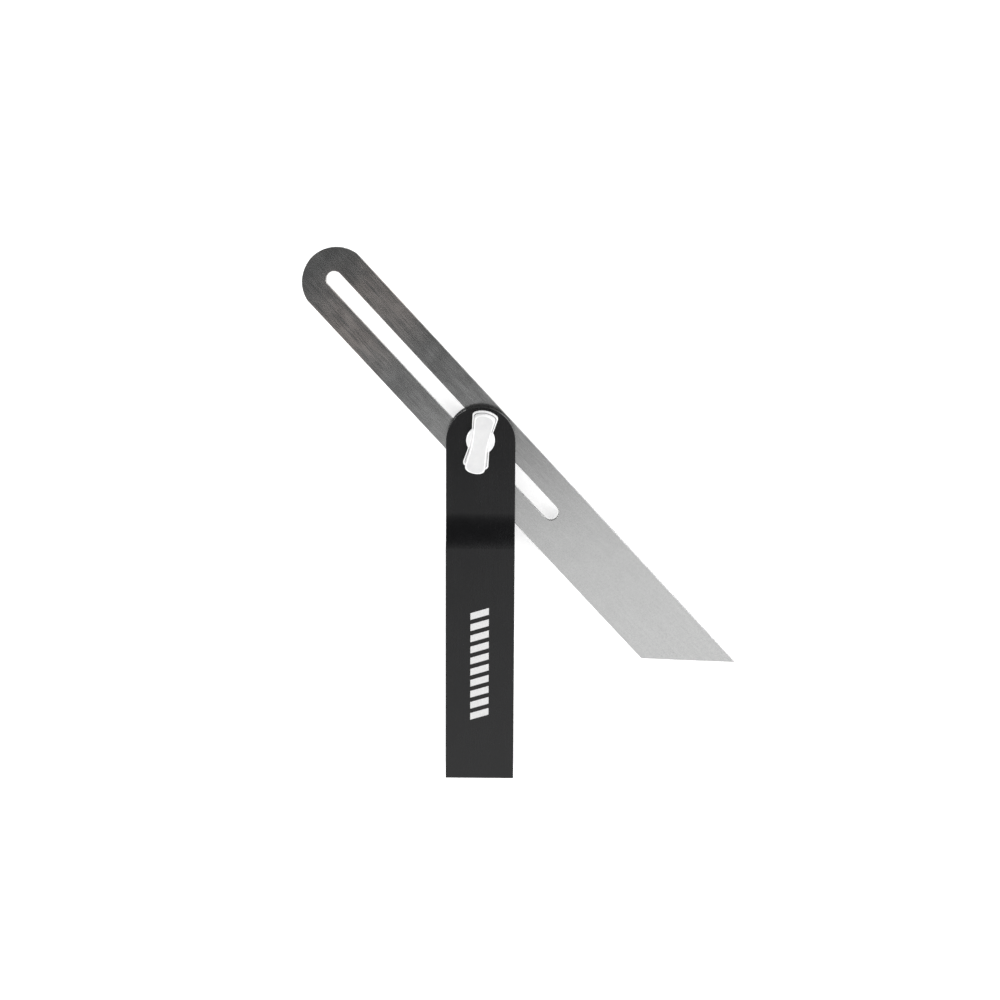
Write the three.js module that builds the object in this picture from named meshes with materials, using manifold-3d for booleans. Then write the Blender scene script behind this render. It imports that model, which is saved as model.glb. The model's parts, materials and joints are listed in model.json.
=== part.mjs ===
// Sliding bevel: a slotted steel blade that swings and slides in a forked aluminium stock,
// clamped by a die-cast lever on a flush pivot bolt. Millimetres, lying on its rear face, +Z up.
// The pivot axis is the Z axis, z = 0 is the rear face, and +Y runs along the stock to the pivot end.
import * as THREE from "three";
import { mergeVertices } from "three/addons/utils/BufferGeometryUtils.js";
import Module from "manifold-3d";

const wasm = await Module();
wasm.setup();

// ---- Stock: one milled bar, thinner at the pivot end, slit from the pivot end for the blade
const STOCK_WIDTH = 26.9;
const PIVOT_TO_BUTT = 135.6;
const END_CENTRE_OFFSET = 1.0; // the round end is struck from a centre this far behind the pivot
const PIVOT_END_THICKNESS = 13.0;
const GRIP_THICKNESS = 16.0;
const RELIEF_START = 28.9; // pivot to the start of the curve that climbs to the grip
const RELIEF_RUN = 13.5; // length of that curve
const BUTT_WEB = 18.0; // solid metal left behind the blade slit

// ---- Blade: flat steel, one round end, one end cut at an angle, a slot along its middle
const BLADE_LENGTH = 230.0;
const BLADE_WIDTH = 26.5;
const BLADE_THICKNESS = 2.0;
const BLADE_END_EXCESS = 0.25; // the round end's radius over half the width
const BLADE_CUT_ANGLE = THREE.MathUtils.degToRad(45);
const SLOT_START = 9.0; // round end to the slot
const SLOT_LENGTH = 129.7;
const BLADE_PIVOT_STATION = 95.2; // round end to the pivot, as set
const BLADE_ANGLE = THREE.MathUtils.degToRad(42.95); // between the blade and the stock, as set

// ---- Pivot bolt: a thin head with two flats, sunk flush in the rear face
const SHANK_DIAMETER = 5.0;
const HEAD_DIAMETER = 11.0;
const HEAD_ACROSS_FLATS = 8.0;
const HEAD_THICKNESS = 2.0;

// ---- Guide bush: keeps the blade's slot on the bolt
const GUIDE_WALL = 0.4; // between its bore and its flats
const GUIDE_LENGTH = 9.2;

// ---- Lever, its threaded insert and the washer under it
const WASHER_DIAMETER = 10.4;
const WASHER_THICKNESS = 0.8;
const INSERT_WALL = 1.2;
const INSERT_LENGTH = 2.8;
const BOSS_WALL = 1.6; // lever metal round the insert
const BOSS_HEIGHT = 3.4;
const BONE_LIFT = 0.7; // the arms start this far above the boss's foot
const BONE_HEIGHT = 2.8;
const GRIP_TIER_HEIGHT = 5.2;
const GRIP_TIER_LEAN = 0.9; // the top is set back towards the pulling end
const LEVER_ANGLE = THREE.MathUtils.degToRad(-11.3); // clockwise from the stock, as set
const THREAD_ENGAGEMENT = 5.2; // bolt above the lever's foot
const BOLT_END_ROOM = 0.6;
const ARM = { flare: 5.05, waist: 3.55, station: 9.95, crown: 1.6, corner: 0.9 };
const TIER_FOOT = { flare: 4.25, waist: 3.05, station: 9.45, crown: 1.25, corner: 1.0 };
const TIER_TOP = { flare: 3.95, waist: 2.95, station: 10.15, crown: 1.3, corner: 1.1 };

// ---- Clearances
const BLADE_SIDE_CLEARANCE = 0.2; // blade face to slit wall
const RUNNING_CLEARANCE = 0.1; // radial, round parts that turn
const SLIDING_CLEARANCE = 0.1; // each side of a flat that slides
const SEAT_CLEARANCE = 0.1; // head in its pocket, insert in its boss
const STACK_CLEARANCE = 0.05; // between faces that rest on each other
const CUT_OVERRUN = 5.0; // how far a cutting solid passes the metal it cuts

// ---- Sizes that follow from these
const stockRadius = STOCK_WIDTH / 2;
const stockTop = stockRadius - END_CENTRE_OFFSET;
const slitMiddle = PIVOT_END_THICKNESS / 2;
const slitHeight = BLADE_THICKNESS + 2 * BLADE_SIDE_CLEARANCE;
const boltBore = SHANK_DIAMETER + 2 * RUNNING_CLEARANCE;
const guideWidth = boltBore + 2 * GUIDE_WALL;
const slotWidth = guideWidth + 2 * SLIDING_CLEARANCE;
const bladeFoot = slitMiddle - BLADE_THICKNESS / 2;
const insertDiameter = boltBore + 2 * INSERT_WALL;
const pocketDiameter = insertDiameter + 2 * SEAT_CLEARANCE;
const bossDiameter = pocketDiameter + 2 * BOSS_WALL;
const washerFoot = PIVOT_END_THICKNESS + STACK_CLEARANCE;
const leverFoot = washerFoot + WASHER_THICKNESS + STACK_CLEARANCE;
const boltTop = leverFoot + THREAD_ENGAGEMENT;
const boneFoot = leverFoot + BONE_LIFT;
const tierFoot = boneFoot + BONE_HEIGHT;

// ---- Geometry to solid and back
function solid(geometry) {
  const bare = geometry.clone();
  bare.deleteAttribute("normal");
  bare.deleteAttribute("uv");
  const merged = mergeVertices(bare, 1e-4);
  return new wasm.Manifold(
    new wasm.Mesh({
      numProp: 3,
      vertProperties: new Float32Array(merged.attributes.position.array),
      triVerts: new Uint32Array(merged.index.array),
    }),
  );
}

function geometryOf(body) {
  const { vertProperties, triVerts, numProp } = body.getMesh();
  const positions = new Float32Array((vertProperties.length / numProp) * 3);
  for (let i = 0; i < positions.length / 3; i++)
    for (let k = 0; k < 3; k++) positions[3 * i + k] = vertProperties[numProp * i + k];
  const geometry = new THREE.BufferGeometry();
  geometry.setAttribute("position", new THREE.BufferAttribute(positions, 3));
  geometry.setIndex(new THREE.BufferAttribute(new Uint32Array(triVerts), 1));
  const faceted = geometry.toNonIndexed();
  faceted.computeVertexNormals();
  return faceted;
}

// ---- Simple shapes, each standing on z = foot
function prism(shape, foot, height, curveSegments = 24) {
  const options = { depth: height, bevelEnabled: false, curveSegments };
  return new THREE.ExtrudeGeometry(shape, options).translate(0, 0, foot);
}

function disc(diameter, foot, height, sides = 48) {
  const cylinder = new THREE.CylinderGeometry(diameter / 2, diameter / 2, height, sides);
  return cylinder.rotateX(Math.PI / 2).translate(0, 0, foot + height / 2);
}

function block(sizeX, sizeY, sizeZ, centre) {
  return new THREE.BoxGeometry(sizeX, sizeY, sizeZ).translate(...centre);
}

// A disc with two parallel flats, which face along X.
function flattedDisc(diameter, acrossFlats, foot, height) {
  const middle = [0, 0, foot + height / 2];
  const between = block(acrossFlats, diameter * 2, height * 2, middle);
  return solid(disc(diameter, foot, height)).intersect(solid(between));
}

// A slot outline along Y with round ends of the full width, centred at the two given places.
function obround(width, lastCentre, firstCentre) {
  const shape = new THREE.Shape();
  shape.absarc(0, lastCentre, width / 2, 0, Math.PI, false);
  shape.absarc(0, firstCentre, width / 2, Math.PI, 2 * Math.PI, false);
  shape.closePath();
  return shape;
}

// A dog-bone outline along Y: wide crowned ends with rounded corners, straight flanks, a soft waist.
function boneShape({ flare, waist, station, crown, corner }) {
  const crownRadius = (flare ** 2 + crown ** 2) / (2 * crown);
  const crownCentre = station + crown - crownRadius;
  const half = Math.asin((flare - corner) / crownRadius);
  const flank = (y) => waist + ((flare - waist) * Math.abs(y)) / station;
  const flankEnd = station - corner;
  const crownEnd = crownCentre + crownRadius * Math.cos(half);
  const soft = station / 3; // the waist's curve starts here
  const shape = new THREE.Shape();
  shape.moveTo(flank(soft), soft);
  shape.lineTo(flank(flankEnd), flankEnd);
  shape.quadraticCurveTo(flare, station, flare - corner, crownEnd);
  shape.absarc(0, crownCentre, crownRadius, Math.PI / 2 - half, Math.PI / 2 + half, false);
  shape.quadraticCurveTo(-flare, station, -flank(flankEnd), flankEnd);
  shape.lineTo(-flank(soft), soft);
  shape.quadraticCurveTo(-waist, 0, -flank(soft), -soft);
  shape.lineTo(-flank(flankEnd), -flankEnd);
  shape.quadraticCurveTo(-flare, -station, -(flare - corner), -crownEnd);
  shape.absarc(0, -crownCentre, crownRadius, -Math.PI / 2 - half, -Math.PI / 2 + half, false);
  shape.quadraticCurveTo(flare, -station, flank(flankEnd), -flankEnd);
  shape.lineTo(flank(soft), -soft);
  shape.quadraticCurveTo(waist, 0, flank(soft), soft);
  return shape;
}

// A tier that changes from one bone outline at its foot to another, set back, at its top.
function boneTier(footBone, topBone, foot, height, setBack, curveSegments = 6) {
  const tier = prism(boneShape(footBone), foot, height, curveSegments);
  const top = prism(boneShape(topBone), foot, height, curveSegments).attributes.position;
  const position = tier.attributes.position;
  for (let i = 0; i < position.count; i++)
    if (position.getZ(i) > foot + height / 2)
      position.setXY(i, top.getX(i), top.getY(i) - setBack);
  return tier;
}

// ---- Stock
function stockPlan() {
  const plan = new THREE.Shape();
  plan.moveTo(-stockRadius, -PIVOT_TO_BUTT);
  plan.lineTo(stockRadius, -PIVOT_TO_BUTT);
  plan.lineTo(stockRadius, -END_CENTRE_OFFSET);
  plan.absarc(0, -END_CENTRE_OFFSET, stockRadius, 0, Math.PI, false);
  plan.closePath();
  return plan;
}

// The side view, drawn with y across and z up: the relief is an arc tangent to the thin end.
function stockSide() {
  const rise = GRIP_THICKNESS - PIVOT_END_THICKNESS;
  const radius = (RELIEF_RUN ** 2 + rise ** 2) / (2 * rise);
  const sweep = Math.asin(RELIEF_RUN / radius);
  const arcZ = PIVOT_END_THICKNESS + radius;
  const down = -Math.PI / 2;
  const side = new THREE.Shape();
  side.moveTo(-PIVOT_TO_BUTT - CUT_OVERRUN, 0);
  side.lineTo(stockTop + CUT_OVERRUN, 0);
  side.lineTo(stockTop + CUT_OVERRUN, PIVOT_END_THICKNESS);
  side.absarc(-RELIEF_START, arcZ, radius, down, down - sweep, true);
  side.lineTo(-PIVOT_TO_BUTT - CUT_OVERRUN, GRIP_THICKNESS);
  side.closePath();
  return side;
}

function makeStock() {
  const tall = GRIP_THICKNESS + 2 * CUT_OVERRUN;
  const wide = STOCK_WIDTH + 2 * CUT_OVERRUN;
  const plan = prism(stockPlan(), -CUT_OVERRUN, tall, 40);
  // The side view is extruded along its own z, then turned so that it runs along x.
  const side = prism(stockSide(), -wide / 2, wide, 14);
  side.applyMatrix4(new THREE.Matrix4().makeBasis(
    new THREE.Vector3(0, 1, 0), new THREE.Vector3(0, 0, 1), new THREE.Vector3(1, 0, 0)));
  const slitBack = BUTT_WEB - PIVOT_TO_BUTT;
  const slitLength = stockTop + CUT_OVERRUN - slitBack;
  const slit = block(wide, slitLength, slitHeight, [0, slitBack + slitLength / 2, slitMiddle]);
  const bore = disc(boltBore, -CUT_OVERRUN, tall);
  const pocketDepth = HEAD_THICKNESS + SEAT_CLEARANCE;
  const pocket = flattedDisc(
    HEAD_DIAMETER + 2 * SEAT_CLEARANCE,
    HEAD_ACROSS_FLATS + 2 * SEAT_CLEARANCE,
    -CUT_OVERRUN,
    pocketDepth + CUT_OVERRUN,
  );
  return solid(plan).intersect(solid(side)).subtract(solid(slit)).subtract(solid(bore)).subtract(pocket);
}

// ---- Blade, drawn along +Y from the pivot to the point, with its long edge on the -X side
function makeBlade() {
  const half = BLADE_WIDTH / 2;
  const radius = half + BLADE_END_EXCESS;
  const roundEnd = -BLADE_PIVOT_STATION;
  const reach = Math.asin(half / radius);
  const arcY = roundEnd + radius;
  const point = roundEnd + BLADE_LENGTH;
  const heel = point - BLADE_WIDTH / Math.tan(BLADE_CUT_ANGLE);
  const outline = new THREE.Shape();
  outline.absarc(0, arcY, radius, -Math.PI / 2 - reach, -Math.PI / 2 + reach, false);
  outline.lineTo(half, heel);
  outline.lineTo(-half, point);
  outline.closePath();
  const slotFirst = roundEnd + SLOT_START + slotWidth / 2;
  const slotLast = slotFirst + SLOT_LENGTH - slotWidth;
  outline.holes.push(obround(slotWidth, slotLast, slotFirst));
  return prism(outline, bladeFoot, BLADE_THICKNESS, 32);
}

// ---- Pivot bolt
function makeBolt() {
  const head = flattedDisc(HEAD_DIAMETER, HEAD_ACROSS_FLATS, 0, HEAD_THICKNESS);
  const shank = disc(SHANK_DIAMETER, HEAD_THICKNESS / 2, boltTop - HEAD_THICKNESS / 2);
  return head.add(solid(shank));
}

// ---- Guide bush: flats along Y and round ends, as the slot has, and a little thinner than the blade
function makeGuide() {
  const height = BLADE_THICKNESS - STACK_CLEARANCE;
  const foot = slitMiddle - height / 2;
  const endCentre = (GUIDE_LENGTH - guideWidth) / 2;
  const body = solid(prism(obround(guideWidth, endCentre, -endCentre), foot, height));
  return body.subtract(solid(disc(boltBore, foot - CUT_OVERRUN, height + 2 * CUT_OVERRUN)));
}

// ---- Ring, for the washer and the threaded insert
function makeRing(outer, foot, height) {
  const bore = solid(disc(boltBore, foot - CUT_OVERRUN, height + 2 * CUT_OVERRUN));
  return solid(disc(outer, foot, height)).subtract(bore);
}

// ---- Lever: boss, dog-bone arms and a narrower finger tier, cast in one
function makeLever() {
  const boss = solid(disc(bossDiameter, leverFoot, BOSS_HEIGHT));
  const arms = solid(prism(boneShape(ARM), boneFoot, BONE_HEIGHT, 6));
  const tier = solid(boneTier(TIER_FOOT, TIER_TOP, tierFoot, GRIP_TIER_HEIGHT, GRIP_TIER_LEAN));
  const insertDepth = INSERT_LENGTH + SEAT_CLEARANCE + CUT_OVERRUN;
  const pocket = solid(disc(pocketDiameter, leverFoot - CUT_OVERRUN, insertDepth));
  const boltRoom = THREAD_ENGAGEMENT + BOLT_END_ROOM + CUT_OVERRUN;
  const boltHole = solid(disc(boltBore, leverFoot - CUT_OVERRUN, boltRoom));
  return boss.add(arms).add(tier).subtract(pocket).subtract(boltHole);
}

// ---- Materials
const finish = (color, metalness, roughness) => () =>
  new THREE.MeshStandardMaterial({ color, metalness, roughness });
const blackAnodised = finish(0x26282b, 0.6, 0.5);
const groundSteel = finish(0xa8a8a6, 1.0, 0.38);
const nickelPlate = finish(0xe6e6e6, 1.0, 0.18);
const zincPlate = finish(0xb9bcbe, 1.0, 0.35);
const brass = finish(0xc9a24a, 1.0, 0.35);

const part = new THREE.Group();

function add(group, name, shape, material) {
  const mesh = new THREE.Mesh(shape.isBufferGeometry ? shape : geometryOf(shape), material());
  mesh.name = name;
  group.add(mesh);
}

// The blade and its guide turn together about the pivot; their drawn +Y points along the blade.
const bladeGroup = new THREE.Group();
bladeGroup.rotation.z = Math.PI + BLADE_ANGLE;
part.add(bladeGroup);
const leverGroup = new THREE.Group();
leverGroup.rotation.z = LEVER_ANGLE;
part.add(leverGroup);

add(part, "stock", makeStock(), blackAnodised);
add(part, "pivot_bolt", makeBolt(), zincPlate);
add(part, "lever_washer", makeRing(WASHER_DIAMETER, washerFoot, WASHER_THICKNESS), nickelPlate);
add(bladeGroup, "blade", makeBlade(), groundSteel);
add(bladeGroup, "guide_bush", makeGuide(), brass);
add(leverGroup, "lever", makeLever(), nickelPlate);
add(leverGroup, "lever_insert", makeRing(insertDiameter, leverFoot, INSERT_LENGTH), brass);

export default part;
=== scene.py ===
# %% [markdown]
# # A sliding bevel in Blender
# A sliding bevel copies angles. A slotted steel blade swings and slides in a slit aluminium stock, and a
# small cast lever clamps it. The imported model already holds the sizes, the bodies and the joints. This
# lesson builds the fine surfaces round that frame, gives each metal its finish, and lights the tool.
# Everything is in metres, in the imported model's own frame: the pivot is the Z axis, the tool lies on z = 0
# and the stock points along -Y.

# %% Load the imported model
import json
import math

import bmesh
import bpy
from mathutils import Matrix, Vector


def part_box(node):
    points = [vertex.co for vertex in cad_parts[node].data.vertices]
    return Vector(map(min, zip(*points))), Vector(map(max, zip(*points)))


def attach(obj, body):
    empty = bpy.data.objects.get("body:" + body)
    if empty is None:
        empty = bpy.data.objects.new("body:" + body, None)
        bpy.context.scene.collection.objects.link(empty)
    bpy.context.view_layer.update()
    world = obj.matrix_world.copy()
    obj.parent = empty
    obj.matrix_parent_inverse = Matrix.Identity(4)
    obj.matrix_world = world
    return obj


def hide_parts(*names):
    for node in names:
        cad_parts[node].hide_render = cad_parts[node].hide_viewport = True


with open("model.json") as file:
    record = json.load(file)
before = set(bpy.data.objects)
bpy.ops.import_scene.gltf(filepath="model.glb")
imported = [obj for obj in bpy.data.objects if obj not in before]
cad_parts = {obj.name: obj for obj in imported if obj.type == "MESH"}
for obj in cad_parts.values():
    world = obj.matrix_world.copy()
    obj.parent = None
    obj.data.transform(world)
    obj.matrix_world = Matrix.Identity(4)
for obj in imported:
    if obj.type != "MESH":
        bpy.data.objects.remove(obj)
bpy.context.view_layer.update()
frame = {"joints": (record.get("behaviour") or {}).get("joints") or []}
MM = 0.001

# %% [markdown]
# ## Sizes
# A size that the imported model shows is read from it, so that a changed model changes the picture too. The
# rest are small things that the CAD leaves plain: chamfers, radii, knurls and threads.

# %% Read the stock, the blade and the pivot stack
stock_low, stock_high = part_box("stock")
STOCK_WIDTH = stock_high.x - stock_low.x
BUTT_Y = stock_low.y
GRIP_TOP = stock_high.z
washer_low, washer_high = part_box("lever_washer")
lever_low, lever_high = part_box("lever")
insert_low, insert_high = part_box("lever_insert")
bolt_low, bolt_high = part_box("pivot_bolt")
guide_low, guide_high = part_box("guide_bush")
blade_low, blade_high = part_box("blade")
BLADE_THICKNESS = blade_high.z - blade_low.z
slide = next(joint for joint in frame["joints"] if joint["name"] == "blade_slide")
BLADE_TURN = math.atan2(-slide["axis"][0], slide["axis"][1])
print("blade turned", round(math.degrees(BLADE_TURN), 2), "degrees from +Y")

# %% Sizes that only this lesson and the CAD source share
STACK_GAP = 0.05 * MM  # the gap that the CAD leaves between faces that rest on each other
PIVOT_TOP = washer_low.z - STACK_GAP
END_RADIUS = STOCK_WIDTH / 2
END_CENTRE_Y = stock_high.y - END_RADIUS
RELIEF_START_Y = -28.9 * MM
RELIEF_RUN = 13.5 * MM
BUTT_WEB = 18.0 * MM
SLIT_SIDE_GAP = 0.2 * MM
BORE_RADIUS = 2.6 * MM
SEAT_GAP = 0.1 * MM
print("stock", round(STOCK_WIDTH / MM, 2), "mm wide, pivot end", round(PIVOT_TOP / MM, 2), "mm thick")

# %% [markdown]
# ## The camera
# The tool is seen from almost straight above, from a little beyond the pivot end, with a short telephoto
# lens. The camera comes first, so that every later step can be judged through it.

# %% Place the camera
SENSOR = 36.0
LENS = 64.8
CAMERA_PLACE = Vector((12.6, 95.35, 702.85)) * MM
CAMERA_TURN = [math.radians(a) for a in (-9.795, 0.47, 0.31)]
camera_data = bpy.data.cameras.new("camera")
camera_data.sensor_width = SENSOR
camera_data.lens = LENS
camera = bpy.data.objects.new("camera", camera_data)
camera.location = CAMERA_PLACE
camera.rotation_euler = CAMERA_TURN
bpy.context.scene.collection.objects.link(camera)
bpy.context.scene.camera = camera
bpy.context.scene.view_settings.view_transform = "Standard"
print("camera", round(CAMERA_PLACE.length, 3), "m from the pivot")

# %% [markdown]
# ## Tools for making shapes
# Most pieces are flat outlines given a thickness, then cut and chamfered as a machinist would. Three helpers
# cover that: a prism from an outline, a stack of outlines for tapered castings, and an exact boolean. A
# fourth turns whatever modifiers an object carries into a plain mesh.

# %% Outlines, prisms and stacks
def arc(centre_x, centre_y, radius, start, end, steps):
    """Points on an arc from start to end, in degrees, both ends included."""
    points = []
    for i in range(steps + 1):
        angle = math.radians(start + (end - start) * i / steps)
        points.append((centre_x + radius * math.cos(angle), centre_y + radius * math.sin(angle)))
    return points


def add_object(name, mesh):
    piece = bpy.data.objects.new(name, mesh)
    bpy.context.scene.collection.objects.link(piece)
    return piece


def stack(name, rings):
    """A closed solid through rings of equal length, each a list of (x, y, z), listed anticlockwise."""
    count = len(rings[0])
    vertices = [point for ring in rings for point in ring]
    faces = [tuple(range(count - 1, -1, -1))]
    for level in range(len(rings) - 1):
        low = level * count
        for i in range(count):
            j = (i + 1) % count
            faces.append((low + i, low + j, low + count + j, low + count + i))
    top = (len(rings) - 1) * count
    faces.append(tuple(range(top, top + count)))
    mesh = bpy.data.meshes.new(name)
    mesh.from_pydata(vertices, [], faces)
    return add_object(name, mesh)


def prism(name, outline, low, high):
    return stack(name, [[(x, y, z) for x, y in outline] for z in (low, high)])


def block(name, low, high):
    corners = [(low[0], low[1]), (high[0], low[1]), (high[0], high[1]), (low[0], high[1])]
    return prism(name, corners, low[2], high[2])


def disc(name, radius, low, high, steps=96):
    return prism(name, arc(0, 0, radius, 0, 360, steps)[:-1], low, high)


# %% Cutting, chamfering and freezing
def freeze(piece):
    """Applies the modifiers, and leaves a plain mesh."""
    graph = bpy.context.evaluated_depsgraph_get()
    mesh = bpy.data.meshes.new_from_object(piece.evaluated_get(graph), depsgraph=graph)
    piece.modifiers.clear()
    piece.data = mesh
    return piece


def combine(piece, operation, *tools):
    for tool in tools:
        boolean = piece.modifiers.new("boolean", "BOOLEAN")
        boolean.operation = operation
        boolean.solver = "EXACT"
        boolean.object = tool
        freeze(piece)
        bpy.data.objects.remove(tool)
    return piece


def clean(piece, distance=1e-6, flat_degrees=0.05):
    """Joins doubled points and dissolves the edges that cross flat faces."""
    work = bmesh.new()
    work.from_mesh(piece.data)
    bmesh.ops.remove_doubles(work, verts=work.verts, dist=distance)
    bmesh.ops.dissolve_limit(
        work, angle_limit=math.radians(flat_degrees), verts=work.verts, edges=work.edges)
    bmesh.ops.recalc_face_normals(work, faces=work.faces)
    work.to_mesh(piece.data)
    work.free()
    return piece


def chamfer(piece, width, segments, weight_of=lambda middle: 1.0, sharp_degrees=28, slot=0):
    """Rounds the sharp edges. weight_of gives an edge's share of the width from its middle point."""
    mesh = piece.data
    work = bmesh.new()
    work.from_mesh(mesh)
    layer = work.edges.layers.float.new("bevel_weight_edge")
    limit = math.radians(sharp_degrees)
    for edge in work.edges:
        if len(edge.link_faces) == 2 and edge.calc_face_angle() > limit:
            middle = (edge.verts[0].co + edge.verts[1].co) / 2
            edge[layer] = weight_of(middle)
    work.to_mesh(mesh)
    work.free()
    mesh.shade_smooth()
    mesh.set_sharp_from_angle(angle=limit)
    bevel = piece.modifiers.new("chamfer", "BEVEL")
    bevel.limit_method = "WEIGHT"
    bevel.width = width
    bevel.segments = segments
    bevel.harden_normals = True
    bevel.material = slot
    bevel.miter_outer = "MITER_ARC"
    return freeze(piece)


def turn(piece, angle):
    piece.data.transform(Matrix.Rotation(angle, 4, "Z"))
    return piece


# %% [markdown]
# ## Tools for node trees
# Materials and Geometry Nodes are both graphs. One small class adds a node, sets or links its inputs by
# name, and hands the node back, so that a tree reads from top to bottom like a recipe.

# %% A node graph helper
SOCKETS = {float: "NodeSocketFloat", int: "NodeSocketInt", bool: "NodeSocketBool", tuple: "NodeSocketVector"}


class Graph:
    def __init__(self, tree):
        self.tree = tree

    def add(self, kind, inputs=None, **settings):
        node = self.tree.nodes.new(kind)
        for name, value in settings.items():
            setattr(node, name, value)
        for key, value in (inputs or {}).items():
            if isinstance(value, bpy.types.NodeSocket):
                self.tree.links.new(value, node.inputs[key])
            else:
                node.inputs[key].default_value = value
        return node

    def math(self, operation, *values):
        inputs = dict(enumerate(values))
        kind = "ShaderNodeMath"
        return self.add(kind, inputs, operation=operation).outputs[0]

    def xyz(self, x, y, z):
        return self.add("ShaderNodeCombineXYZ", {0: x, 1: y, 2: z}).outputs[0]


def geometry_tree(name, sizes):
    """An empty Geometry Nodes tree with one named input for each size, and one for the material."""
    tree = bpy.data.node_groups.new(name, "GeometryNodeTree")
    for label, value in sizes.items():
        socket = tree.interface.new_socket(label, in_out="INPUT", socket_type=SOCKETS[type(value)])
        socket.default_value = value
    tree.interface.new_socket("Material", in_out="INPUT", socket_type="NodeSocketMaterial")
    tree.interface.new_socket("Geometry", in_out="OUTPUT", socket_type="NodeSocketGeometry")
    graph = Graph(tree)
    return graph, graph.add("NodeGroupInput").outputs


def finish_tree(graph, given, geometry):
    """Ends a tree: real geometry, one material, and out."""
    real = graph.add("GeometryNodeRealizeInstances", {"Geometry": geometry}).outputs[0]
    painted = graph.add("GeometryNodeSetMaterial", {"Geometry": real, "Material": given["Material"]})
    graph.add("NodeGroupOutput", {"Geometry": painted.outputs[0]})


def grow(name, tree, sizes, material):
    """Runs a Geometry Nodes tree once, and returns a plain mesh object."""
    piece = add_object(name, bpy.data.meshes.new(name))
    modifier = piece.modifiers.new("nodes", "NODES")
    modifier.node_group = tree
    values = dict(sizes, Material=material)
    for item in tree.interface.items_tree:
        if item.in_out == "INPUT" and item.name in values:
            modifier[item.identifier] = values[item.name]
    freeze(piece)
    print(name, "has", len(piece.data.polygons), "faces")
    return piece


# %% [markdown]
# ## Shared surface effects
# Real metal is never one even colour. Four small effects are built once as shader groups, and each finish
# uses them with its own values: streaks from grinding or drawing, soft clouds, pinhead specks of dust, and a
# fine tooth for bead-blasted castings. They only give numbers. The shaders stay in the materials.

# %% Shader groups
def effect(name, sizes):
    tree = bpy.data.node_groups.new(name, "ShaderNodeTree")
    tree.interface.new_socket("Vector", in_out="INPUT", socket_type="NodeSocketVector")
    for label, value in sizes.items():
        socket = tree.interface.new_socket(label, in_out="INPUT", socket_type=SOCKETS[type(value)])
        socket.default_value = value
    tree.interface.new_socket("Mask", in_out="OUTPUT", socket_type="NodeSocketFloat")
    graph = Graph(tree)
    return tree, graph, graph.add("NodeGroupInput").outputs


def ramp(graph, value, low, high):
    inputs = {"Value": value, "From Min": low, "From Max": high}
    return graph.add("ShaderNodeMapRange", inputs).outputs[0]


def make_streaks():
    """Long thin scratches along the piece's own Y once it is turned: fine ones over broad ones."""
    tree, graph, given = effect("streaks", {"Turn": 0.0, "Across": 4000.0, "Along": 60.0})
    turned = graph.add("ShaderNodeVectorRotate", {
        "Vector": given["Vector"], "Angle": given["Turn"]}, rotation_type="Z_AXIS").outputs[0]
    stretch = graph.xyz(given["Across"], given["Along"], given["Across"])
    fine_place = graph.add("ShaderNodeVectorMath", {0: turned, 1: stretch}, operation="MULTIPLY").outputs[0]
    fine = graph.add("ShaderNodeTexNoise", {"Vector": fine_place, "Scale": 1.0, "Detail": 3.0}).outputs[0]
    broad_place = graph.add(
        "ShaderNodeVectorMath", {0: fine_place, "Scale": 0.22}, operation="SCALE").outputs[0]
    broad = graph.add("ShaderNodeTexNoise", {"Vector": broad_place, "Scale": 1.0, "Detail": 2.0}).outputs[0]
    both = graph.math("ADD", graph.math("MULTIPLY", fine, 0.6), graph.math("MULTIPLY", broad, 0.4))
    graph.add("NodeGroupOutput", {"Mask": ramp(graph, both, 0.32, 0.68)})
    return tree


def make_clouds():
    """Soft patches of the given size across, in metres."""
    tree, graph, given = effect("clouds", {"Size": 0.01, "Low": 0.35, "High": 0.65})
    scale = graph.math("DIVIDE", 1.0, given["Size"])
    noise = graph.add("ShaderNodeTexNoise", {
        "Vector": given["Vector"], "Scale": scale, "Detail": 4.0, "Roughness": 0.55}).outputs[0]
    graph.add("NodeGroupOutput", {"Mask": ramp(graph, noise, given["Low"], given["High"])})
    return tree


def make_specks():
    """Scattered specks: a cell holds one where its random value is over Rarity."""
    tree, graph, given = effect("specks", {"Spacing": 0.002, "Radius": 0.04, "Rarity": 0.8})
    scale = graph.math("DIVIDE", 1.0, given["Spacing"])
    cells = graph.add("ShaderNodeTexVoronoi", {"Vector": given["Vector"], "Scale": scale})
    near = graph.math("LESS_THAN", cells.outputs["Distance"], given["Radius"])
    split = graph.add("ShaderNodeSeparateColor", {0: cells.outputs["Color"]}).outputs[0]
    chosen = graph.math("GREATER_THAN", split, given["Rarity"])
    graph.add("NodeGroupOutput", {"Mask": graph.math("MULTIPLY", near, chosen)})
    return tree


def make_tooth():
    """The close grain of a blasted or cast surface."""
    tree, graph, given = effect("tooth", {"Grain": 0.0002})
    scale = graph.math("DIVIDE", 1.0, given["Grain"])
    noise = graph.add("ShaderNodeTexNoise", {
        "Vector": given["Vector"], "Scale": scale, "Detail": 2.0, "Roughness": 0.6}).outputs[0]
    graph.add("NodeGroupOutput", {"Mask": ramp(graph, noise, 0.3, 0.7)})
    return tree


STREAKS, CLOUDS, SPECKS, TOOTH = make_streaks(), make_clouds(), make_specks(), make_tooth()
print("effects:", [tree.name for tree in (STREAKS, CLOUDS, SPECKS, TOOTH)])


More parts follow.
